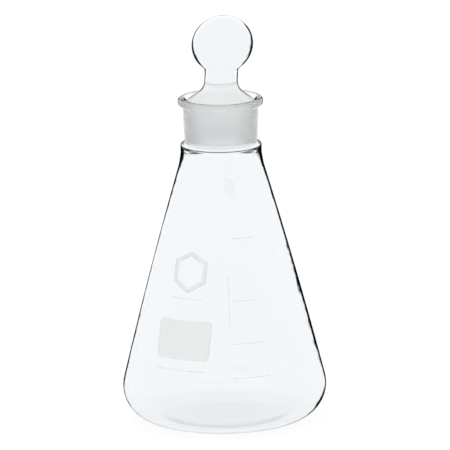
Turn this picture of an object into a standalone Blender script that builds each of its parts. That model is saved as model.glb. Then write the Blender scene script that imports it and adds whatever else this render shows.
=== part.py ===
"""Erlenmeyer flask, 500 mL, with a ground-glass neck and a hollow globe stopper.

Run with: blender --background --python part.py
Metres, +Z up. The origin is the centre of the ring that the flask rests on; the front is -Y.
Every glass piece is a turned profile, and every fired print is a thin shell over the cone.
"""
import math

import bmesh
import bpy
from mathutils import Vector

# ---------------------------------------------------------------- driving dimensions
GAP = 0.0003                  # between neighbouring solids

BODY_RADIUS = 0.0516          # the widest place, at the rolled base corner
CORNER_RADIUS = 0.0169        # roll of the base corner
CONE_SLOPE = 0.2703           # radius lost per unit of height
CONE_CROWN = 0.0007           # how far the blown cone bellies out at mid height
CONE_TOP = 0.1350             # where the cone meets the shoulder
WALL = 0.0018
BASE_THICKNESS = 0.0024
PUSH_UP = 0.0015              # rise of the base inside the resting ring
REST_RING_WIDTH = 0.0040      # the flat that touches the bench

SEAM_HEIGHT = 0.1430          # where the socket is sealed to the shoulder
SHOULDER_RADIUS = 0.02045
SHOULDER_ROLL = 0.00235       # radius of the bulge under the seam

LIP_HEIGHT = 0.1654
LIP_RADIUS = 0.02143
LIP_ROLL = 0.0018
SOCKET_FOOT_RADIUS = 0.0183
SOCKET_TOP_RADIUS = 0.0190
BORE_TOP_RADIUS = 0.01725     # a 34.5 mm joint
BORE_TAPER = 0.05             # 1:10 on the diameter
FUNNEL_DEPTH = 0.0019         # from the lip down to the ground bore

STOPPER_HEIGHT = 0.2071       # top of the globe
STOPPER_FOOT = 0.1436
STOPPER_RIM = 0.1640          # top edge of the ground cone
STEM_RADIUS = 0.00837
STEM_BOTTOM = 0.1738          # where the shoulder fillet has become the stem
STEM_FILLET = 0.0069
GLOBE_RADIUS = 0.01545
GLOBE_HALF_HEIGHT = 0.0146
STOPPER_WALL = 0.0017
GLOBE_WALL = 0.0014

PRINT_THICKNESS = 0.0003
SCALE_LINE_WIDTH = 0.0005
SCALE_START = 0.0044          # arc length from the front to each line's left end
SCALE_LINES = {500: 0.0114, 400: 0.0127, 300: 0.0163, 200: 0.0187}   # millilitres: line length
SCALE_ALLOWANCE = 1.033       # the marks sit where the vessel holds 3.3% more than they say
LABEL_AZIMUTH = math.radians(-28.3)
MARK_HEIGHT = 0.0825          # centres of the prints, up from the bench
UNDERLINE_HEIGHT = 0.0695
PATCH_HEIGHT = 0.0494
ROW_HEIGHT = 0.0346
COLUMN_HEIGHT = 0.0680
COLUMN_START = 0.0028         # arc length from the front to the column's middle

BODY_STEPS = 48
NECK_STEPS = 40


# ---------------------------------------------------------------- the cone, as formulas
CORNER_CENTRE = Vector((BODY_RADIUS - CORNER_RADIUS, CORNER_RADIUS))
CONE_ANGLE = math.atan(CONE_SLOPE)
CONE_FOOT = CORNER_CENTRE + CORNER_RADIUS * Vector((math.cos(CONE_ANGLE), math.sin(CONE_ANGLE)))


def cone_radius(height):
    """Outer radius of the cone, straight with a slight belly."""
    t = (height - CONE_FOOT.y) / (CONE_TOP - CONE_FOOT.y)
    return CONE_FOOT.x - CONE_SLOPE * (height - CONE_FOOT.y) + 4 * CONE_CROWN * t * (1 - t)


def inner_radius(height):
    """Inner radius of the vessel, from the base to the top of the cone."""
    if height > CONE_FOOT.y:
        return cone_radius(height) - WALL / math.cos(CONE_ANGLE)
    drop = CORNER_CENTRE.y - height
    return CORNER_CENTRE.x + math.sqrt(max((CORNER_RADIUS - WALL) ** 2 - drop ** 2, 0))


def inner_floor(radius):
    """Height of the vessel's floor, which follows the push-up of the base."""
    return WALL + (PUSH_UP + BASE_THICKNESS - WALL) * (1 - (radius / CORNER_CENTRE.x) ** 2)


def filling_height(millilitres):
    """Height that a volume reaches, by adding up thin discs from the floor."""
    slice_height = 0.0001
    height = WALL
    # The domed floor takes half of its rise off a disc of its own radius.
    volume = -math.pi * CORNER_CENTRE.x ** 2 * (inner_floor(0) - WALL) / 2
    while volume < millilitres * 1e-6:
        volume += math.pi * inner_radius(height + slice_height / 2) ** 2 * slice_height
        height += slice_height
    return height


# ---------------------------------------------------------------- profiles: (radius, height)
def arc(centre, radius, start, end, steps, squash=1.0):
    """Points on an arc, with angles in degrees from outwards (0) to upwards (90)."""
    angles = [math.radians(start + (end - start) * i / steps) for i in range(steps + 1)]
    return [(centre[0] + radius * math.cos(a), centre[1] + radius * squash * math.sin(a)) for a in angles]


def spread(low, high, count):
    return [low + (high - low) * i / (count - 1) for i in range(count)]


def body_profile():
    """The vessel's wall: up the inside from the floor's centre, then down the outside."""
    lean = math.degrees(CONE_ANGLE)
    heights = spread(CONE_FOOT.y, CONE_TOP, 8)
    foot_bore = BORE_TOP_RADIUS - BORE_TAPER * (LIP_HEIGHT - FUNNEL_DEPTH - SEAM_HEIGHT)
    seam = SEAM_HEIGHT - GAP / 2
    inside = [(r, inner_floor(r)) for r in spread(0, CORNER_CENTRE.x, 5)[:-1]]
    inside += arc(CORNER_CENTRE, CORNER_RADIUS - WALL, -90, lean, 9)
    inside += [(inner_radius(h), h) for h in heights[1:]]
    throat = inner_radius(CONE_TOP) - foot_bore
    inside += arc((foot_bore, CONE_TOP + 0.0015), throat, 15, 75, 3, squash=1.6)
    inside.append((foot_bore, seam))
    outside = [(SOCKET_FOOT_RADIUS, seam)]
    roll_centre = (SHOULDER_RADIUS - SHOULDER_ROLL, SEAM_HEIGHT - 0.0032)
    outside += arc(roll_centre, SHOULDER_ROLL, 75, 0, 4)
    outside.append((SHOULDER_RADIUS, CONE_TOP + 0.0025))
    outside += [(cone_radius(h), h) for h in reversed(heights)]
    outside += arc(CORNER_CENTRE, CORNER_RADIUS, lean, 0, 2)[1:]
    outside += arc(CORNER_CENTRE, CORNER_RADIUS, 0, -90, 9)[1:]
    ring_inside = CORNER_CENTRE.x - REST_RING_WIDTH
    outside += [(r, PUSH_UP * (1 - (r / ring_inside) ** 2)) for r in spread(ring_inside, 0, 4)]
    return inside + outside


def bore_radius(height):
    return BORE_TOP_RADIUS - BORE_TAPER * (LIP_HEIGHT - FUNNEL_DEPTH - height)


def socket_profile():
    """The joint: up the ground bore, over the lip and down the outside, as a closed loop."""
    foot = SEAM_HEIGHT + GAP / 2
    funnel_foot = LIP_HEIGHT - FUNNEL_DEPTH
    lip_centre = (LIP_RADIUS - LIP_ROLL, LIP_HEIGHT - LIP_ROLL)
    points = [(bore_radius(foot), foot), (bore_radius(funnel_foot), funnel_foot)]
    points.append((lip_centre[0] - 0.0012, LIP_HEIGHT - 0.0004))
    points += arc(lip_centre, LIP_ROLL, 90, -60, 7)
    under_lip = LIP_HEIGHT - 0.0050
    points.append((SOCKET_TOP_RADIUS + 0.0004, under_lip + 0.0010))
    points.append((SOCKET_TOP_RADIUS, under_lip))
    points.append((SOCKET_TOP_RADIUS, LIP_HEIGHT - 0.0090))
    points.append((SOCKET_FOOT_RADIUS, foot))
    return points + points[:1]


def stopper_profile():
    """The stopper: down the outside from the globe's top, round its foot and up the inside."""
    globe_centre = (0, STOPPER_HEIGHT - GLOBE_HALF_HEIGHT)
    squash = GLOBE_HALF_HEIGHT / GLOBE_RADIUS
    neck_angle = -math.degrees(math.acos(STEM_RADIUS / GLOBE_RADIUS))
    outside = arc(globe_centre, GLOBE_RADIUS, 90, neck_angle + 4, 12, squash)
    stem_top = globe_centre[1] + GLOBE_HALF_HEIGHT * math.sin(math.radians(neck_angle))
    outside.append((STEM_RADIUS, stem_top - 0.0015))
    outside += arc((STEM_RADIUS + STEM_FILLET, STEM_BOTTOM), STEM_FILLET, 180, 235, 4)
    rim_radius = bore_radius(STOPPER_RIM) - GAP
    outside.append((rim_radius, STOPPER_RIM))
    foot_radius = bore_radius(STOPPER_FOOT) - GAP
    outside.append((foot_radius, STOPPER_FOOT + 0.0008))
    outside.append((foot_radius - 0.0006, STOPPER_FOOT))
    inside = [(foot_radius - STOPPER_WALL, STOPPER_FOOT)]
    inside.append((rim_radius - STOPPER_WALL, STOPPER_RIM - 0.0008))
    stem_bore = STEM_RADIUS - STOPPER_WALL
    inside += arc((stem_bore + STEM_FILLET + 0.002, STEM_BOTTOM), STEM_FILLET + 0.002, 228, 180, 3)
    inner_squash = (GLOBE_HALF_HEIGHT - GLOBE_WALL) / (GLOBE_RADIUS - GLOBE_WALL)
    throat_angle = -math.degrees(math.acos(stem_bore / (GLOBE_RADIUS - GLOBE_WALL)))
    inside += arc(globe_centre, GLOBE_RADIUS - GLOBE_WALL, throat_angle, 90, 10, inner_squash)
    return [(abs(r), z - LIP_HEIGHT) for r, z in outside + inside]


# ---------------------------------------------------------------- materials
def glass(name, tint, roughness):
    material = bpy.data.materials.new(name)
    material.use_nodes = True
    shader = material.node_tree.nodes["Principled BSDF"]
    shader.inputs["Base Color"].default_value = (*tint, 1)
    shader.inputs["Roughness"].default_value = roughness
    shader.inputs["Metallic"].default_value = 0
    shader.inputs["IOR"].default_value = 1.47
    shader.inputs["Transmission Weight"].default_value = 1
    return material


def enamel(name):
    material = bpy.data.materials.new(name)
    material.use_nodes = True
    shader = material.node_tree.nodes["Principled BSDF"]
    shader.inputs["Base Color"].default_value = (0.86, 0.88, 0.87, 1)
    shader.inputs["Roughness"].default_value = 0.45
    shader.inputs["Metallic"].default_value = 0
    return material


# ---------------------------------------------------------------- objects
def new_object(name, mesh, material, parent):
    mesh.materials.append(material)
    item = bpy.data.objects.new(name, mesh)
    bpy.data.collections["Erlenmeyer flask"].objects.link(item)
    item.parent = parent
    return item


def turned(name, profile, steps, material, parent, height=0.0):
    """A closed glass shape turned about Z from its profile, shaded smooth."""
    loop = profile[0] == profile[-1]
    points = profile[:-1] if loop else profile
    count = len(points)
    edges = [(i, (i + 1) % count) for i in range(count if loop else count - 1)]
    mesh = bpy.data.meshes.new(name)
    mesh.from_pydata([(r, 0, z) for r, z in points], edges, [])
    item = new_object(name, mesh, material, parent)
    item.location.z = height
    screw = item.modifiers.new("Turn", "SCREW")
    screw.axis = "Z"
    screw.steps = steps
    screw.render_steps = steps
    screw.use_merge_vertices = True
    screw.merge_threshold = 0.00001
    screw.use_smooth_shade = True
    return item


def wrap(sheet, name, azimuth, height, material, parent):
    """Lay a flat print on the cone: x runs round the girth, y up the glass, z off the glass."""
    for vert in sheet.verts:
        z = height + vert.co.y * math.cos(CONE_ANGLE)
        girth = cone_radius(z)
        angle = azimuth + vert.co.x / girth
        lift = GAP + vert.co.z
        radius = girth + lift * math.cos(CONE_ANGLE)
        vert.co = (radius * math.sin(angle), -radius * math.cos(angle), z + lift * math.sin(CONE_ANGLE))
    mesh = bpy.data.meshes.new(name)
    sheet.to_mesh(mesh)
    sheet.free()
    mesh.shade_smooth()
    mesh.set_sharp_from_angle(angle=math.radians(40))
    return new_object(name, mesh, material, parent)


def thicken(item):
    shell = item.modifiers.new("Enamel", "SOLIDIFY")
    shell.thickness = PRINT_THICKNESS
    shell.offset = 1
    return item


def flat_bar(width, height, columns, rows=1):
    """A flat rectangle, cut into enough squares to follow the glass."""
    sheet = bmesh.new()
    bmesh.ops.create_grid(sheet, x_segments=columns, y_segments=rows, size=1)
    bmesh.ops.scale(sheet, vec=(width / 2, height / 2, 1), verts=sheet.verts)
    return sheet


def rounded_patch(width, height, corner):
    """A flat rectangle with round corners: each row of a grid is as wide as the outline there."""
    sheet = flat_bar(2, 2, columns=12, rows=10)
    for vert in sheet.verts:
        y = math.sin(vert.co.y * math.pi / 2) * height / 2
        into_corner = max(abs(y) - (height / 2 - corner), 0)
        inset = corner - math.sqrt(max(corner ** 2 - into_corner ** 2, 0))
        vert.co = (vert.co.x * (width / 2 - inset), y, 0)
    return sheet


def hexagon_ring(radius, width):
    """A flat six-sided ring that stands on a point, with side points so that it can bend."""
    sheet = bmesh.new()
    for size in (radius, radius - width):
        made = bmesh.ops.create_circle(sheet, segments=6, radius=size)
        edges = list({edge for vert in made["verts"] for edge in vert.link_edges})
        bmesh.ops.subdivide_edges(sheet, edges=edges, cuts=2)
    bmesh.ops.bridge_loops(sheet, edges=sheet.edges[:])
    bmesh.ops.recalc_face_normals(sheet, faces=sheet.faces)
    if sheet.faces[0].normal.z < 0:
        bmesh.ops.reverse_faces(sheet, faces=sheet.faces)
    return sheet


# ---------------------------------------------------------------- the prints
def add_scale(material, parent):
    for millilitres, length in SCALE_LINES.items():
        height = filling_height(millilitres * SCALE_ALLOWANCE)
        azimuth = (SCALE_START + length / 2) / cone_radius(height)
        line = flat_bar(length, SCALE_LINE_WIDTH, columns=5)
        thicken(wrap(line, f"scale_line_{millilitres}", azimuth, height, material, parent))


def add_labels(material, parent):
    patch = rounded_patch(0.0296, 0.0199, 0.0026)
    thicken(wrap(patch, "writing_patch", LABEL_AZIMUTH, PATCH_HEIGHT, material, parent))
    row = flat_bar(0.0280, 0.0018, columns=8)
    thicken(wrap(row, "batch_row", LABEL_AZIMUTH, ROW_HEIGHT, material, parent))
    mark = hexagon_ring(0.0105, 0.0022)
    thicken(wrap(mark, "maker_mark", LABEL_AZIMUTH, MARK_HEIGHT, material, parent))
    bar = flat_bar(0.0175, 0.0008, columns=5)
    thicken(wrap(bar, "mark_underline", LABEL_AZIMUTH, UNDERLINE_HEIGHT, material, parent))
    column = flat_bar(0.0024, 0.0265, columns=1, rows=4)
    azimuth = COLUMN_START / cone_radius(COLUMN_HEIGHT)
    thicken(wrap(column, "side_column", azimuth, COLUMN_HEIGHT, material, parent))


def build():
    for item in list(bpy.data.objects):
        bpy.data.objects.remove(item)
    collection = bpy.data.collections.new("Erlenmeyer flask")
    bpy.context.scene.collection.children.link(collection)
    frame = bpy.data.objects.new("flask_frame", None)
    collection.objects.link(frame)

    clear = glass("Borosilicate glass", (0.95, 0.98, 0.99), 0.0)
    socket_glass = glass("Ground socket glass", (0.84, 0.86, 0.85), 0.35)
    stopper_glass = glass("Stopper glass", (0.93, 0.96, 0.97), 0.05)
    white = enamel("White enamel")

    turned("flask_body", body_profile(), BODY_STEPS, clear, frame)
    turned("neck_socket", socket_profile(), NECK_STEPS, socket_glass, frame)
    turned("stopper", stopper_profile(), NECK_STEPS, stopper_glass, frame, LIP_HEIGHT)
    add_labels(white, frame)
    add_scale(white, frame)


build()
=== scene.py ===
import math

import bmesh
import bpy
from mathutils import Matrix, Vector


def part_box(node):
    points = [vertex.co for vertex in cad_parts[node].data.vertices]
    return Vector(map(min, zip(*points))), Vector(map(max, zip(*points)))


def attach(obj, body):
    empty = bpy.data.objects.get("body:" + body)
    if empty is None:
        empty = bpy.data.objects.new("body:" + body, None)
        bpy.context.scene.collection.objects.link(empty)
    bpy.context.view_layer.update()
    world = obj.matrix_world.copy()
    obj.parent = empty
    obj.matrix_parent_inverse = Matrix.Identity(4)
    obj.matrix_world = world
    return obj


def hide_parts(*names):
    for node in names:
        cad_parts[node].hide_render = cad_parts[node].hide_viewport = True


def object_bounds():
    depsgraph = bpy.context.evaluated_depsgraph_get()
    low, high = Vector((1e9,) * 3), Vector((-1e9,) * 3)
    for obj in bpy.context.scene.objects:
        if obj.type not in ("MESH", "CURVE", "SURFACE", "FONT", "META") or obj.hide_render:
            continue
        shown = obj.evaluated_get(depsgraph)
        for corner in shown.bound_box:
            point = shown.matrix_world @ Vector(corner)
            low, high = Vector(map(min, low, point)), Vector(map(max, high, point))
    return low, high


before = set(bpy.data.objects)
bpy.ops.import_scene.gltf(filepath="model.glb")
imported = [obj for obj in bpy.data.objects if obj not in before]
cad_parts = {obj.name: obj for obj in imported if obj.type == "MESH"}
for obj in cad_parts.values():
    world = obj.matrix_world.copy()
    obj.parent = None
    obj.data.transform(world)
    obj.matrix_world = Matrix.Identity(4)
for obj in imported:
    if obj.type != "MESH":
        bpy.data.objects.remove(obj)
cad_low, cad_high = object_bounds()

# ---------------------------------------------------------------- sizes taken from the frame
BODY_LOW, BODY_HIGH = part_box("flask_body")
SOCKET_LOW, SOCKET_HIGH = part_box("neck_socket")
STOPPER_LOW, STOPPER_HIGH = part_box("stopper")

BODY_RADIUS = BODY_HIGH.x                        # the widest place, at the rolled base corner
LIP_HEIGHT = SOCKET_HIGH.z
LIP_RADIUS = SOCKET_HIGH.x
SEAM_HEIGHT = (BODY_HIGH.z + SOCKET_LOW.z) / 2   # where the socket is sealed to the shoulder
STOPPER_TOP = STOPPER_HIGH.z
STOPPER_FOOT = STOPPER_LOW.z

# ---------------------------------------------------------------- the rest of the glass, in metres
CORNER_RADIUS = 0.0169
CONE_SLOPE = 0.2703
CONE_CROWN = 0.0007
CONE_TOP = 0.1350
WALL = 0.0018
BASE_THICKNESS = 0.0024
PUSH_UP = 0.0015
REST_RING_WIDTH = 0.0040
SHOULDER_RADIUS = 0.02045
SOCKET_FOOT_RADIUS = 0.0183
SOCKET_TOP_RADIUS = 0.0190
BORE_TOP_RADIUS = 0.01725
BORE_TAPER = 0.05
FUNNEL_DEPTH = 0.0019
GROUND_GAP = 0.0003           # between the stopper's cone and the bore
STOPPER_RIM = 0.1640
STEM_RADIUS = 0.00837
STEM_BASE = 0.1704            # where the stem's side would meet the flare
STEM_FILLET = 0.0069
GLOBE_RADIUS = 0.01545
GLOBE_HALF_HEIGHT = 0.0146
STOPPER_WALL = 0.0017
GLOBE_WALL = 0.0014
GLOBE_FILLET = 0.0034         # where the globe runs into the stem
HAZE_TOP = 0.1737             # the inside of the flare is hazy below here
MATTE_RADIUS = 0.0144         # the grinding runs over the rim and in to here
GLOBE_LEAN = 0.05             # sideways drift of the hand-blown stem and globe, per unit of height

ROUND_STEPS = 160             # faces round every turned piece
ARC_STEP = math.radians(7)    # turn of the profile from one point to the next on a fillet
FLOOR_POINTS = 24             # along the floor and the underside, from the axis outwards
FLOOR_BEND = 1.6              # how evenly the push-up dies out towards the resting ring
CONE_POINTS = 30

PRINT_LIFT = 0.00002          # of a print's back off the glass
PRINT_THICKNESS = 0.00004
LABEL_AZIMUTH = math.radians(-28.3)
SCALE_START = 0.0044          # arc length from the front to each line's left end

SCALE_LINES = {500: 0.0114, 400: 0.0127, 300: 0.0163, 200: 0.0187}   # millilitres: line length
SCALE_LINE_WIDTH = 0.00035

CAMERA_ELEVATION = math.radians(13.1)
CAMERA_DISTANCE = 3.0
CAMERA_ROLL = math.radians(-0.88)
CAMERA_TARGET = Vector((0.00137, 0, 0.0993))
FRAME_WIDTH = 0.2275          # of the view, at the target

CORNER_CENTRE = Vector((BODY_RADIUS - CORNER_RADIUS, CORNER_RADIUS))
CONE_ANGLE = math.atan(CONE_SLOPE)
CONE_FOOT = CORNER_CENTRE + CORNER_RADIUS * Vector((math.cos(CONE_ANGLE), math.sin(CONE_ANGLE)))


# ---------------------------------------------------------------- profile tools: (radius, height)
def cone_radius(height):
    t = (height - CONE_FOOT.y) / (CONE_TOP - CONE_FOOT.y)
    return CONE_FOOT.x - CONE_SLOPE * (height - CONE_FOOT.y) + 4 * CONE_CROWN * t * (1 - t)


def bore_radius(height):
    return BORE_TOP_RADIUS - BORE_TAPER * (LIP_HEIGHT - FUNNEL_DEPTH - height)


def spread(low, high, count):
    return [low + (high - low) * i / (count - 1) for i in range(count)]


def arc(centre, radius, start, end, squash=1.0):
    """Points on an arc, with angles in degrees from outwards (0) to upwards (90)."""
    steps = max(2, math.ceil(abs(math.radians(end - start)) / ARC_STEP))
    angles = [math.radians(start + (end - start) * i / steps) for i in range(steps + 1)]
    return [(centre[0] + radius * math.cos(a), centre[1] + radius * squash * math.sin(a)) for a in angles]


def rounded(corners):
    """A line through (radius, height, fillet) corners, each corner turned into an arc of that fillet."""
    line = [tuple(corners[0][:2])]
    for before, here, after in zip(corners, corners[1:], corners[2:]):
        corner, fillet = Vector(here[:2]), here[2]
        back, on = Vector(before[:2]) - corner, Vector(after[:2]) - corner
        turn = math.pi - back.angle(on)
        if fillet == 0 or turn < math.radians(1):
            line.append(tuple(corner))
            continue
        reach = min(fillet * math.tan(turn / 2), 0.49 * back.length, 0.49 * on.length)
        radius = reach / math.tan(turn / 2)
        start, end = corner + back.normalized() * reach, corner + on.normalized() * reach
        centre = corner + (back.normalized() + on.normalized()).normalized() * math.hypot(radius, reach)
        first, sweep = start - centre, (start - centre).angle_signed(end - centre)
        steps = max(2, math.ceil(turn / ARC_STEP))
        for i in range(steps + 1):
            spin = Matrix.Rotation(-sweep * i / steps, 2)
            line.append(tuple(centre + spin @ first))
    line.append(tuple(corners[-1][:2]))
    return line


def turned(name, profile, materials, slot_of, steps=ROUND_STEPS):
    """A piece turned about Z from its profile. slot_of gives the material slot of a stretch of it."""
    shape = bmesh.new()
    rings = []
    for radius, height in profile:
        if radius < 1e-6:
            rings.append([shape.verts.new((0, 0, height))] * steps)
            continue
        angles = [2 * math.pi * i / steps for i in range(steps)]
        rings.append([shape.verts.new((radius * math.cos(a), radius * math.sin(a), height)) for a in angles])
    for index, (ring, following) in enumerate(zip(rings, rings[1:])):
        slot = slot_of(profile[index], profile[index + 1])
        for i in range(steps):
            j = (i + 1) % steps
            corners = dict.fromkeys((ring[i], ring[j], following[j], following[i]))
            face = shape.faces.new(list(corners))
            face.material_index = slot
            face.smooth = True
    bmesh.ops.recalc_face_normals(shape, faces=shape.faces)
    return new_piece(name, shape, materials)


def new_piece(name, shape, materials):
    mesh = bpy.data.meshes.new(name)
    shape.to_mesh(mesh)
    shape.free()
    for material in materials:
        mesh.materials.append(material)
    piece = bpy.data.objects.new(name, mesh)
    bpy.context.scene.collection.objects.link(piece)
    return piece


# ---------------------------------------------------------------- the turned glass
def domed(level, rise, reach):
    """From the axis outwards along a floor that is pushed up by rise and comes down to level at reach."""
    return [(r, level + rise * (1 - (r / reach) ** 2) ** FLOOR_BEND) for r in spread(0, reach, FLOOR_POINTS)]


def flask_profile():
    """Up the inside from the floor's centre, over the lip and down the outside, as one sealed glass."""
    lean = math.degrees(CONE_ANGLE)
    wall_across = WALL / math.cos(CONE_ANGLE)
    rise = PUSH_UP + BASE_THICKNESS - WALL
    inside = domed(WALL, rise, CORNER_CENTRE.x)
    inside += arc(CORNER_CENTRE, CORNER_RADIUS - WALL, -90, lean)[1:]
    heights = spread(CONE_FOOT.y, CONE_TOP, CONE_POINTS)
    inside += [(cone_radius(h) - wall_across, h) for h in heights[1:-1]]
    foot_bore = bore_radius(SEAM_HEIGHT)
    funnel_foot = LIP_HEIGHT - FUNNEL_DEPTH
    inside += rounded([
        (cone_radius(CONE_TOP) - wall_across, CONE_TOP, 0),
        (cone_radius(CONE_TOP) - wall_across - 0.0006, CONE_TOP + 0.0030, 0.0050),
        (foot_bore, SEAM_HEIGHT - 0.0024, 0.0030),
        (foot_bore, SEAM_HEIGHT, 0.0004),
        (BORE_TOP_RADIUS, funnel_foot, 0.0010),
        (LIP_RADIUS - 0.0028, LIP_HEIGHT, 0.0012),
        (LIP_RADIUS, LIP_HEIGHT, 0.0019),
        (LIP_RADIUS, LIP_HEIGHT - 0.0034, 0.0016),
        (SOCKET_TOP_RADIUS, LIP_HEIGHT - 0.0044, 0.0012),
        (SOCKET_TOP_RADIUS, LIP_HEIGHT - 0.0090, 0.0080),
        (SOCKET_FOOT_RADIUS, SEAM_HEIGHT - 0.0004, 0.0008),
        (SHOULDER_RADIUS, SEAM_HEIGHT - 0.0010, 0.0022),
        (SHOULDER_RADIUS, CONE_TOP + 0.0020, 0.0060),
        (cone_radius(heights[-2]), heights[-2], 0),
    ])
    outside = [(cone_radius(h), h) for h in reversed(heights[:-2])]
    outside += arc(CORNER_CENTRE, CORNER_RADIUS, lean, -90)[1:]
    outside += reversed(domed(0, PUSH_UP, CORNER_CENTRE.x - REST_RING_WIDTH))
    return inside + outside


def inset(line, depth):
    """A line moved sideways by depth, towards the axis and downwards."""
    moved = []
    for i, point in enumerate(line):
        along = Vector(line[min(i + 1, len(line) - 1)]) - Vector(line[max(i - 1, 0)])
        along.normalize()
        moved.append((point[0] + along.y * depth, point[1] - along.x * depth))
    return moved


def stopper_profile():
    """Down the outside from the globe's top, round the foot and up the inside."""
    globe_centre = (0, STOPPER_TOP - GLOBE_HALF_HEIGHT)
    squash = GLOBE_HALF_HEIGHT / GLOBE_RADIUS
    neck_angle = -math.degrees(math.acos((STEM_RADIUS + 0.0018) / GLOBE_RADIUS))
    globe = arc(globe_centre, GLOBE_RADIUS, 90, neck_angle, squash)
    along = Vector(globe[-1]) - Vector(globe[-2])
    meeting = globe[-1][1] + (STEM_RADIUS - globe[-1][0]) * along.y / along.x
    rim = bore_radius(STOPPER_RIM) - GROUND_GAP
    foot = bore_radius(STOPPER_FOOT) - GROUND_GAP
    upper = globe[:-1] + rounded([
        (*globe[-1], 0),
        (STEM_RADIUS, meeting, GLOBE_FILLET),
        (STEM_RADIUS, STEM_BASE, STEM_FILLET),
        (rim - 0.0007, STOPPER_RIM + 0.0004, 0),
    ])
    inner_rim = rim - STOPPER_WALL
    lower = rounded([
        (*upper[-1], 0),
        (rim, STOPPER_RIM - 0.0003, 0.0005),
        (foot, STOPPER_FOOT, 0.0008),
        (foot - STOPPER_WALL, STOPPER_FOOT, 0.0007),
        (inner_rim, STOPPER_RIM - 0.0022, 0),
    ])
    hollow = [point for point in reversed(inset(upper, GLOBE_WALL)) if point[0] < inner_rim - 0.0003]
    points = upper[:-1] + lower + hollow
    return [(0.0 if r < 1e-5 else r, z) for r, z in points]


# ---------------------------------------------------------------- node tools
def new_material(name):
    material = bpy.data.materials.new(name)
    material.use_nodes = True
    nodes = material.node_tree.nodes
    return material, nodes, material.node_tree.links, nodes["Principled BSDF"]


def ramp(nodes, stops):
    node = nodes.new("ShaderNodeValToRGB")
    while len(node.color_ramp.elements) < len(stops):
        node.color_ramp.elements.new(0.5)
    for element, (place, colour) in zip(node.color_ramp.elements, stops):
        element.position = place
        element.color = (*colour, 1) if isinstance(colour, tuple) else (colour, colour, colour, 1)
    return node


def mapped(nodes, links, source, low, high, to_low=0.0, to_high=1.0, smooth=False):
    """A socket's value, taken from low..high to to_low..to_high."""
    node = nodes.new("ShaderNodeMapRange")
    node.interpolation_type = "SMOOTHSTEP" if smooth else "LINEAR"
    for name, value in (("From Min", low), ("From Max", high), ("To Min", to_low), ("To Max", to_high)):
        if isinstance(value, float):
            node.inputs[name].default_value = value
        else:
            links.new(value, node.inputs[name])
    links.new(source, node.inputs["Value"])
    return node.outputs["Result"]


def maths(nodes, links, operation, *operands):
    node = nodes.new("ShaderNodeMath")
    node.operation = operation
    for socket, operand in zip(node.inputs, operands):
        if isinstance(operand, (int, float)):
            socket.default_value = operand
        else:
            links.new(operand, socket)
    return node.outputs[0]


def noise(nodes, links, vector, scale, detail=2):
    node = nodes.new("ShaderNodeTexNoise")
    node.inputs["Scale"].default_value = scale
    node.inputs["Detail"].default_value = detail
    links.new(vector, node.inputs["Vector"])
    return node.outputs["Fac"]


def layered(nodes, links, share, under, over):
    """One shader's output over another's, by a share from 0 to 1."""
    node = nodes.new("ShaderNodeMixShader")
    links.new(share, node.inputs["Fac"])
    links.new(under, node.inputs[1])
    links.new(over, node.inputs[2])
    return node.outputs[0]


def object_place(nodes, links):
    """Where a point is on the piece: the whole place, and its height."""
    place, split = nodes.new("ShaderNodeTexCoord"), nodes.new("ShaderNodeSeparateXYZ")
    links.new(place.outputs["Object"], split.inputs["Vector"])
    return place.outputs["Object"], split.outputs["Z"]


# ---------------------------------------------------------------- materials
EDGE_RAISE = 0.3              # upward bend of the normal that thins the painted dark edges out when seen from above
EDGE_SOFTNESS = 1.1, 0.85     # where the dark edge begins and is full, as shares of its width
# Width in mm of the dark line of painted shade where the wall is seen edge on, level with the eye. It changes
# with height and side: narrow half way up the cone's left, widest at the right of the heel and in the seam.
NONE, FAINT, THIN, PLAIN, THICK, BROADEST = 0.01, 0.25, 0.7, 1.3, 2.0, 3.2
FLASK_EDGE_SHADE = [               # (height in mm, left side, right side)
    (0, PLAIN, PLAIN),
    (10, PLAIN, BROADEST),
    (20, PLAIN, PLAIN),
    (45, PLAIN, THICK),
    (70, THIN, THICK),
    (100, THIN, PLAIN),
    (130, PLAIN, PLAIN),
    (140, BROADEST, BROADEST),
    (144, NONE, NONE),
    (159, NONE, NONE),
    (163, THIN, THIN),
]
STOPPER_EDGE_SHADE = [
    (143, NONE, NONE),
    (163, NONE, NONE),
    (166, FAINT, FAINT),
    (174, THIN, THIN),
    (182, THIN, THIN),
    (188, THICK, THICK),
    (196, THIN, PLAIN),
    (207, FAINT, FAINT),
]
# Painted shade in dark rings all round where the glass is thick or folded: (height in mm, half width in mm,
# share).
SEAM_SHADE_RINGS = [(141.3, 0.45, 0.90), (142.8, 0.55, 0.20)]
STEM_SHADE_RINGS = [(173.5, 0.45, 0.36), (172.6, 1.10, 0.10)]


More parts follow.
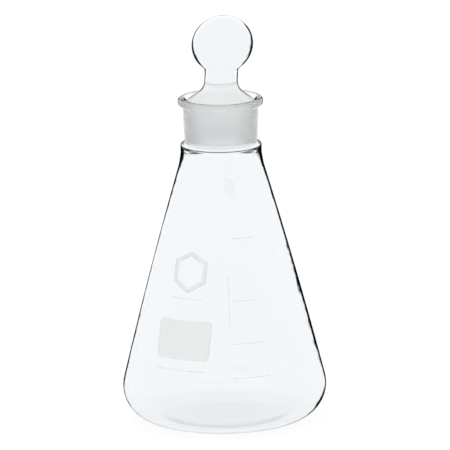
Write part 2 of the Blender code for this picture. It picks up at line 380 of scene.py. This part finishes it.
def painted_edge_shade(nodes, links, edges, curve, top_share, rings):
    """How much of the surface gets painted shade: a dark line where it is seen edge on, as wide as the tables
    give for each height and side, and dark rings all round.
    curve gives the radius of the outline at a height, which turns a width into an angle.
    top_share is how much of the line is left where the glass faces up or down."""
    facing = nodes.new("ShaderNodeLayerWeight")
    facing.inputs["Blend"].default_value = 0.5
    raised, unit = nodes.new("ShaderNodeVectorMath"), nodes.new("ShaderNodeVectorMath")
    raised.inputs[1].default_value, unit.operation = (0, 0, EDGE_RAISE), "NORMALIZE"
    links.new(nodes.new("ShaderNodeNewGeometry").outputs["Normal"], raised.inputs[0])
    links.new(raised.outputs[0], unit.inputs[0])
    links.new(unit.outputs[0], facing.inputs["Normal"])
    place = nodes.new("ShaderNodeTexCoord")
    spot, upright = nodes.new("ShaderNodeSeparateXYZ"), nodes.new("ShaderNodeSeparateXYZ")
    links.new(place.outputs["Object"], spot.inputs[0])
    links.new(place.outputs["Normal"], upright.inputs[0])
    low, high = edges[0][0], edges[-1][0]
    height = mapped(nodes, links, spot.outputs["Z"], low / 1000, high / 1000)
    sides = []
    for column in (1, 2):
        stops = []
        for edge in edges:
            angle = math.sqrt(2 * edge[column] / 1000 / curve(edge[0] / 1000))
            stops.append(((edge[0] - low) / (high - low), angle))
        sides.append(ramp(nodes, stops))
        links.new(height, sides[-1].inputs["Fac"])
    # the painted dark line's width runs from the left column's on the -X side to the right column's on the +X
    # side
    side = mapped(nodes, links, spot.outputs["X"], -0.01, 0.01)
    width = mapped(nodes, links, side, 0.0, 1.0, sides[0].outputs["Color"], sides[1].outputs["Color"])
    wander = noise(nodes, links, place.outputs["Object"], 160)
    width = maths(nodes, links, "MULTIPLY", width, mapped(nodes, links, wander, 0.3, 0.7, 0.86, 1.12))
    length = math.hypot(1, EDGE_RAISE)
    start, end = (maths(nodes, links, "MULTIPLY_ADD", width, -part / length, 1.0) for part in EDGE_SOFTNESS)
    # painted shade: dark where the raised normal is seen near edge on
    line = mapped(nodes, links, facing.outputs["Facing"], start, end, smooth=True)
    tilt = maths(nodes, links, "ABSOLUTE", upright.outputs["Z"])
    level = mapped(nodes, links, tilt, 0.6, 0.9, 1.0, top_share, smooth=True)
    share = maths(nodes, links, "MULTIPLY", line, level)
    # painted shade in dark rings all round, at the given heights
    for ring_height, half_width, strength in rings:
        gap = maths(nodes, links, "SUBTRACT", spot.outputs["Z"], ring_height / 1000)
        away = maths(nodes, links, "ABSOLUTE", gap)
        band = mapped(nodes, links, away, 0.0, half_width / 1000, strength, 0.0, smooth=True)
        share = maths(nodes, links, "MAXIMUM", share, band)
    return maths(nodes, links, "MULTIPLY", share, seen_outside(nodes, links))


def seen_outside(nodes, links):
    """1 where the glass is met from the air and 0 from inside it."""
    return maths(nodes, links, "SUBTRACT", 1.0, nodes.new("ShaderNodeNewGeometry").outputs["Backfacing"])


def set_glass(shader, tint, index, roughness=0.0, transmission=1.0):
    shader.inputs["Base Color"].default_value = (*tint, 1)
    shader.inputs["IOR"].default_value = index
    shader.inputs["Roughness"].default_value = roughness
    shader.inputs["Transmission Weight"].default_value = transmission


def clear_glass(name, tint, index, edges, curve, top_share, rings, haze=None):
    """Fire-polished borosilicate: faintly blue through the faces, with painted shade, a near-black shader
    mixed in, where the wall is seen edge on and in the dark rings.
    haze, the tints at its foot and its top, is for glass whose skin the abrasive has clouded; their grey,
    deeper at the foot, is painted shade."""
    material, nodes, links, shader = new_material(name)
    set_glass(shader, tint, index)
    # painted shade: a near-black shader for the dark edges and rings
    dark = nodes.new("ShaderNodeBsdfPrincipled")
    dark.inputs["Base Color"].default_value = (0.002, 0.004, 0.004, 1)
    dark.inputs["Roughness"].default_value = 0.8
    dark.inputs["Specular IOR Level"].default_value = 0.0
    glass = shader.outputs[0]
    if haze:
        skin = nodes.new("ShaderNodeBsdfPrincipled")
        set_glass(skin, haze[0], index, roughness=0.4, transmission=0.35)
        _, height = object_place(nodes, links)
        shade = ramp(nodes, [(0.0, haze[0]), (1.0, haze[1])])
        links.new(mapped(nodes, links, height, STOPPER_RIM, HAZE_TOP), shade.inputs["Fac"])
        links.new(shade.outputs["Color"], skin.inputs["Base Color"])
        glass = layered(nodes, links, seen_outside(nodes, links), glass, skin.outputs[0])
    edge = painted_edge_shade(nodes, links, edges, curve, top_share, rings)
    # the painted shade laid over the glass by its share
    finish = layered(nodes, links, edge, glass, dark.outputs[0])
    links.new(finish, nodes["Material Output"].inputs["Surface"])
    return material


def inner_glass(name, tint, index, shaded=None):
    """The inside of the wall, with no painted dark edge of its own: the outer face already darkens it.
    shaded is (radius, height, tint) of painted shade in the middle of the floor: a greyer disc that stands
    for the dark bands the thick base bends into view."""
    material, nodes, links, shader = new_material(name)
    set_glass(shader, tint, index)
    if shaded:
        radius, height, floor_shade_tint = shaded
        place, fit = nodes.new("ShaderNodeTexCoord"), nodes.new("ShaderNodeMapping")
        fit.vector_type = "TEXTURE"
        fit.inputs["Scale"].default_value = (radius, radius, height)
        reach = nodes.new("ShaderNodeVectorMath")
        reach.operation = "LENGTH"
        links.new(place.outputs["Object"], fit.inputs["Vector"])
        links.new(fit.outputs["Vector"], reach.inputs[0])
        # painted shade: greyest in the middle of the floor, fading out to the glass's own tint
        tone = ramp(nodes, [(0.3, floor_shade_tint), (1.0, tint)])
        tone.color_ramp.interpolation = "EASE"
        links.new(reach.outputs["Value"], tone.inputs["Fac"])
        links.new(tone.outputs["Color"], shader.inputs["Base Color"])
    return material


def ground_glass(name, top_tint, foot_tint, index):
    """Matte glass, with upright streaks and the fine grain that the abrasive leaves; its grey, deeper towards
    the foot, is painted shade.
    """
    material, nodes, links, shader = new_material(name)
    set_glass(shader, top_tint, index, roughness=0.5)
    place, height = object_place(nodes, links)
    shade = ramp(nodes, [(0.0, foot_tint), (1.0, top_tint)])
    links.new(mapped(nodes, links, height, SEAM_HEIGHT, STOPPER_RIM), shade.inputs["Fac"])
    stretch = nodes.new("ShaderNodeMapping")
    stretch.inputs["Scale"].default_value = (110, 110, 6)
    links.new(place, stretch.inputs["Vector"])
    tone = ramp(nodes, [(0.3, 0.93), (0.7, 1.0)])
    links.new(noise(nodes, links, stretch.outputs["Vector"], 1.0, 3), tone.inputs["Fac"])
    blend = nodes.new("ShaderNodeMix")
    blend.data_type, blend.blend_type = "RGBA", "MULTIPLY"
    blend.inputs["Factor"].default_value = 1.0
    links.new(shade.outputs["Color"], blend.inputs["A"])
    links.new(tone.outputs["Color"], blend.inputs["B"])
    links.new(blend.outputs["Result"], shader.inputs["Base Color"])
    bump = nodes.new("ShaderNodeBump")
    bump.inputs["Strength"].default_value = 0.25
    bump.inputs["Distance"].default_value = 0.0001
    links.new(noise(nodes, links, place, 2600), bump.inputs["Height"])
    links.new(bump.outputs["Normal"], shader.inputs["Normal"])
    return material


def enamel():
    """White fired enamel, with the faint mottle of a screened print."""
    material, nodes, links, shader = new_material("enamel")
    place, _ = object_place(nodes, links)
    shade = ramp(nodes, [(0.3, (0.84, 0.872, 0.858)), (0.7, (0.88, 0.912, 0.898))])
    links.new(noise(nodes, links, place, 4000, 3), shade.inputs["Fac"])
    links.new(shade.outputs["Color"], shader.inputs["Base Color"])
    shader.inputs["Roughness"].default_value = 0.7
    shader.inputs["Transmission Weight"].default_value = 0.22
    return material


# ---------------------------------------------------------------- the glass pieces
OUTER, INNER, GROUND, HAZE, RIM = 0, 1, 2, 3, 4


def inside_wall(radius, height):
    """Whether a point of the flask's profile is on the inside of its wall."""
    middle = 0.6 * WALL           # a depth that only the inside's points are past
    if height > CONE_FOOT.y:
        return radius < cone_radius(height) - middle
    if radius > CORNER_CENTRE.x:
        return math.hypot(radius - CORNER_CENTRE.x, height - CORNER_CENTRE.y) < CORNER_RADIUS - middle
    return height > 0.9 * WALL


def flask_slot(start, end):
    """The bore is ground from the seam to the funnel, and the rest of the inside is plain."""
    radius, height = (start[0] + end[0]) / 2, (start[1] + end[1]) / 2
    if SEAM_HEIGHT < height < LIP_HEIGHT - FUNNEL_DEPTH and radius < bore_radius(height) + 0.0002:
        return GROUND
    return INNER if height < SEAM_HEIGHT and inside_wall(radius, height) else OUTER


def stopper_slot(start, end):
    """The cone is ground on its outside, the rim is matte and the flare is hazy up to the stem."""
    middle_radius, middle_height = (start[0] + end[0]) / 2, (start[1] + end[1]) / 2
    if end[1] > start[1] and middle_radius < bore_radius(STOPPER_FOOT) - GROUND_GAP - 0.001:
        return INNER
    if middle_height < STEM_BASE and middle_radius > MATTE_RADIUS:
        return GROUND if middle_height < STOPPER_RIM else RIM
    return HAZE if middle_height < HAZE_TOP else OUTER


def flask_curve(height):
    return cone_radius(min(max(height, CONE_FOOT.y), CONE_TOP))


def stopper_curve(height):
    globe_foot = STOPPER_TOP - GLOBE_HALF_HEIGHT - 0.01
    return GLOBE_RADIUS if height > globe_foot else STEM_RADIUS


def lean_over(piece):
    """Drift the stem and globe sideways above the rim, as a hand-blown stopper's do."""
    for vert in piece.data.vertices:
        vert.co.x += GLOBE_LEAN * max(vert.co.z - STOPPER_RIM, 0)


FLASK_TINT, STOPPER_TINT = (0.930, 0.946, 0.960), (0.924, 0.941, 0.954)
FLASK_INDEX, STOPPER_INDEX = 1.473, 1.12       # the thin blown stopper hardly bends the light
GROUND_TINT_AND_SHADE = (0.975, 0.980, 0.965), (0.90, 0.91, 0.895)      # at the rim and at the foot; the grey, deeper at the foot, is painted shade
# painted shade on the flask's floor: (radius, height, tint) of a greyer disc
BASE_SHADE = 0.042, 0.012, (0.79, 0.815, 0.80)
white = enamel()


def stopper_glass(name, haze=None):
    return clear_glass(name, STOPPER_TINT, STOPPER_INDEX, STOPPER_EDGE_SHADE, stopper_curve, 0.3,
                       STEM_SHADE_RINGS, haze)


flask = turned("flask_glass", flask_profile(), [
    clear_glass("clear_glass", FLASK_TINT, FLASK_INDEX, FLASK_EDGE_SHADE, flask_curve, 0.45, SEAM_SHADE_RINGS),
    inner_glass("inner_glass", FLASK_TINT, FLASK_INDEX, BASE_SHADE),
    ground_glass("ground_bore", *GROUND_TINT_AND_SHADE, FLASK_INDEX),
], flask_slot)
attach(flask, "flask")
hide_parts("flask_body", "neck_socket")

stopper = turned("globe_stopper", stopper_profile(), [
    stopper_glass("stopper_glass"),
    inner_glass("hollow_glass", STOPPER_TINT, STOPPER_INDEX),
    ground_glass("ground_cone", *GROUND_TINT_AND_SHADE, STOPPER_INDEX),
    # the hazy flare and the matte rim: their grey tints, deeper at the foot, are painted shade
    stopper_glass("hazy_glass", ((0.82, 0.845, 0.835), (0.93, 0.955, 0.945))),
    stopper_glass("matte_rim", ((0.75, 0.775, 0.765), (0.82, 0.845, 0.835))),
], stopper_slot)
lean_over(stopper)
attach(stopper, "stopper")
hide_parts("stopper")


# ---------------------------------------------------------------- the fired prints
def flat_bars(places, width, height, step=0.001):
    """Flat rectangles centred on places, cut up finely enough to follow the glass."""
    sheet = bmesh.new()
    columns, rows = max(1, math.ceil(width / step)), max(1, math.ceil(height / step))
    for x, y in places:
        made = bmesh.ops.create_grid(sheet, x_segments=columns, y_segments=rows, size=1)
        bmesh.ops.scale(sheet, vec=(width / 2, height / 2, 1), verts=made["verts"])
        bmesh.ops.translate(sheet, vec=(x, y, 0), verts=made["verts"])
    return sheet


def rounded_patch(width, height, corner):
    """A flat rectangle with round corners: each row of a grid is as wide as the outline there."""
    sheet = flat_bars([(0, 0)], 2, 2, step=0.066)
    for vert in sheet.verts:
        y = math.sin(vert.co.y * math.pi / 2) * height / 2
        into_corner = max(abs(y) - (height / 2 - corner), 0)
        pulled_in = corner - math.sqrt(max(corner ** 2 - into_corner ** 2, 0))
        vert.co = (vert.co.x * (width / 2 - pulled_in), y, 0)
    return sheet


def hexagon_ring(radius, width):
    """A flat six-sided ring that stands on a point, with side points so that it can bend."""
    sheet = bmesh.new()
    for size in (radius, radius - width):
        made = bmesh.ops.create_circle(sheet, segments=6, radius=size)
        edges = list({edge for vert in made["verts"] for edge in vert.link_edges})
        bmesh.ops.subdivide_edges(sheet, edges=edges, cuts=9)
    bmesh.ops.bridge_loops(sheet, edges=sheet.edges[:])
    return sheet


def printed(name, sheet, azimuth, height, node):
    """Fire a flat print onto the cone: x runs round the girth and y up the glass."""
    bmesh.ops.recalc_face_normals(sheet, faces=sheet.faces)
    for face in sheet.faces:
        face.smooth = True
        if face.normal.z < 0:
            face.normal_flip()
    for vert in sheet.verts:
        z = height + vert.co.y * math.cos(CONE_ANGLE)
        girth = cone_radius(z)
        angle = azimuth + vert.co.x / girth
        radius = girth + PRINT_LIFT * math.cos(CONE_ANGLE)
        vert.co = (radius * math.sin(angle), -radius * math.cos(angle), z + PRINT_LIFT * math.sin(CONE_ANGLE))
    piece = new_piece(name, sheet, [white])
    film = piece.modifiers.new("Film", "SOLIDIFY")
    film.thickness = PRINT_THICKNESS
    film.offset = 1
    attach(piece, "flask")
    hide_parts(node)
    return piece


def add_prints():
    printed("patch_print", rounded_patch(0.0296, 0.0199, 0.0026), LABEL_AZIMUTH, 0.0494, "writing_patch")
    row = flat_bars([(x, 0) for x in spread(-0.0116, 0.0116, 5)], 0.0046, 0.00035)
    printed("row_print", row, LABEL_AZIMUTH, 0.0346, "batch_row")
    printed("mark_print", hexagon_ring(0.0105, 0.0022), LABEL_AZIMUTH, 0.0825, "maker_mark")
    bars = flat_bars([(x, 0) for x in spread(-0.0062, 0.0062, 3)], 0.0050, 0.00035)
    printed("underline_print", bars, LABEL_AZIMUTH, 0.0695, "mark_underline")
    column = flat_bars([(0, y) for y in spread(-0.0112, 0.0112, 5)], 0.00035, 0.0042)
    printed("column_print", column, 0.0028 / cone_radius(0.068), 0.068, "side_column")
    for millilitres, length in SCALE_LINES.items():
        node = f"scale_line_{millilitres}"
        low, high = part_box(node)
        height = (low.z + high.z) / 2
        azimuth = (SCALE_START + length / 2) / cone_radius(height)
        line = flat_bars([(0, 0)], length, SCALE_LINE_WIDTH)
        printed(f"line_print_{millilitres}", line, azimuth, height, node)


add_prints()


# ---------------------------------------------------------------- floor, light and camera
def make_floor():
    bpy.ops.mesh.primitive_plane_add(size=60, location=(0, 0, cad_low.z - 0.0001))
    floor = bpy.context.object
    floor.name = "floor"
    material, nodes, links, shader = new_material("floor_paper")
    shader.inputs["Base Color"].default_value = (0.10, 0.10, 0.10, 1)
    shader.inputs["Roughness"].default_value = 0.9
    shader.inputs["Specular IOR Level"].default_value = 0.0
    shader.inputs["Emission Color"].default_value = (1, 1, 1, 1)
    shader.inputs["Emission Strength"].default_value = 0.92
    floor.data.materials.append(material)


def make_world():
    """A white studio dome, dimmer in a band above the horizon and brightest overhead."""
    world = bpy.data.worlds.new("studio")
    bpy.context.scene.world = world
    world.use_nodes = True
    nodes, links = world.node_tree.nodes, world.node_tree.links
    place = nodes.new("ShaderNodeTexCoord")
    split = nodes.new("ShaderNodeSeparateXYZ")
    height = ramp(nodes, [(0.0, 0.75), (0.6, 0.75), (1.0, 1.0)])
    links.new(place.outputs["Generated"], split.inputs["Vector"])
    links.new(split.outputs["Z"], height.inputs["Fac"])
    links.new(height.outputs["Color"], nodes["Background"].inputs["Color"])
    nodes["Background"].inputs["Strength"].default_value = 1.4


def make_camera():
    data = bpy.data.cameras.new("camera")
    data.sensor_width = 36
    data.lens = data.sensor_width * CAMERA_DISTANCE / FRAME_WIDTH
    data.clip_start, data.clip_end = 0.05, 100
    camera = bpy.data.objects.new("camera", data)
    bpy.context.scene.collection.objects.link(camera)
    away = Vector((0, -math.cos(CAMERA_ELEVATION), math.sin(CAMERA_ELEVATION)))
    aim = (-away).to_track_quat("-Z", "Y").to_matrix().to_4x4()
    roll = Matrix.Rotation(CAMERA_ROLL, 4, "Z")
    camera.matrix_world = Matrix.Translation(CAMERA_TARGET + away * CAMERA_DISTANCE) @ aim @ roll
    bpy.context.scene.camera = camera


make_floor()
make_world()
make_camera()
scene = bpy.context.scene
scene.view_settings.view_transform = "Standard"
scene.cycles.max_bounces = 24
scene.cycles.transmission_bounces = 24
scene.cycles.diffuse_bounces = 16
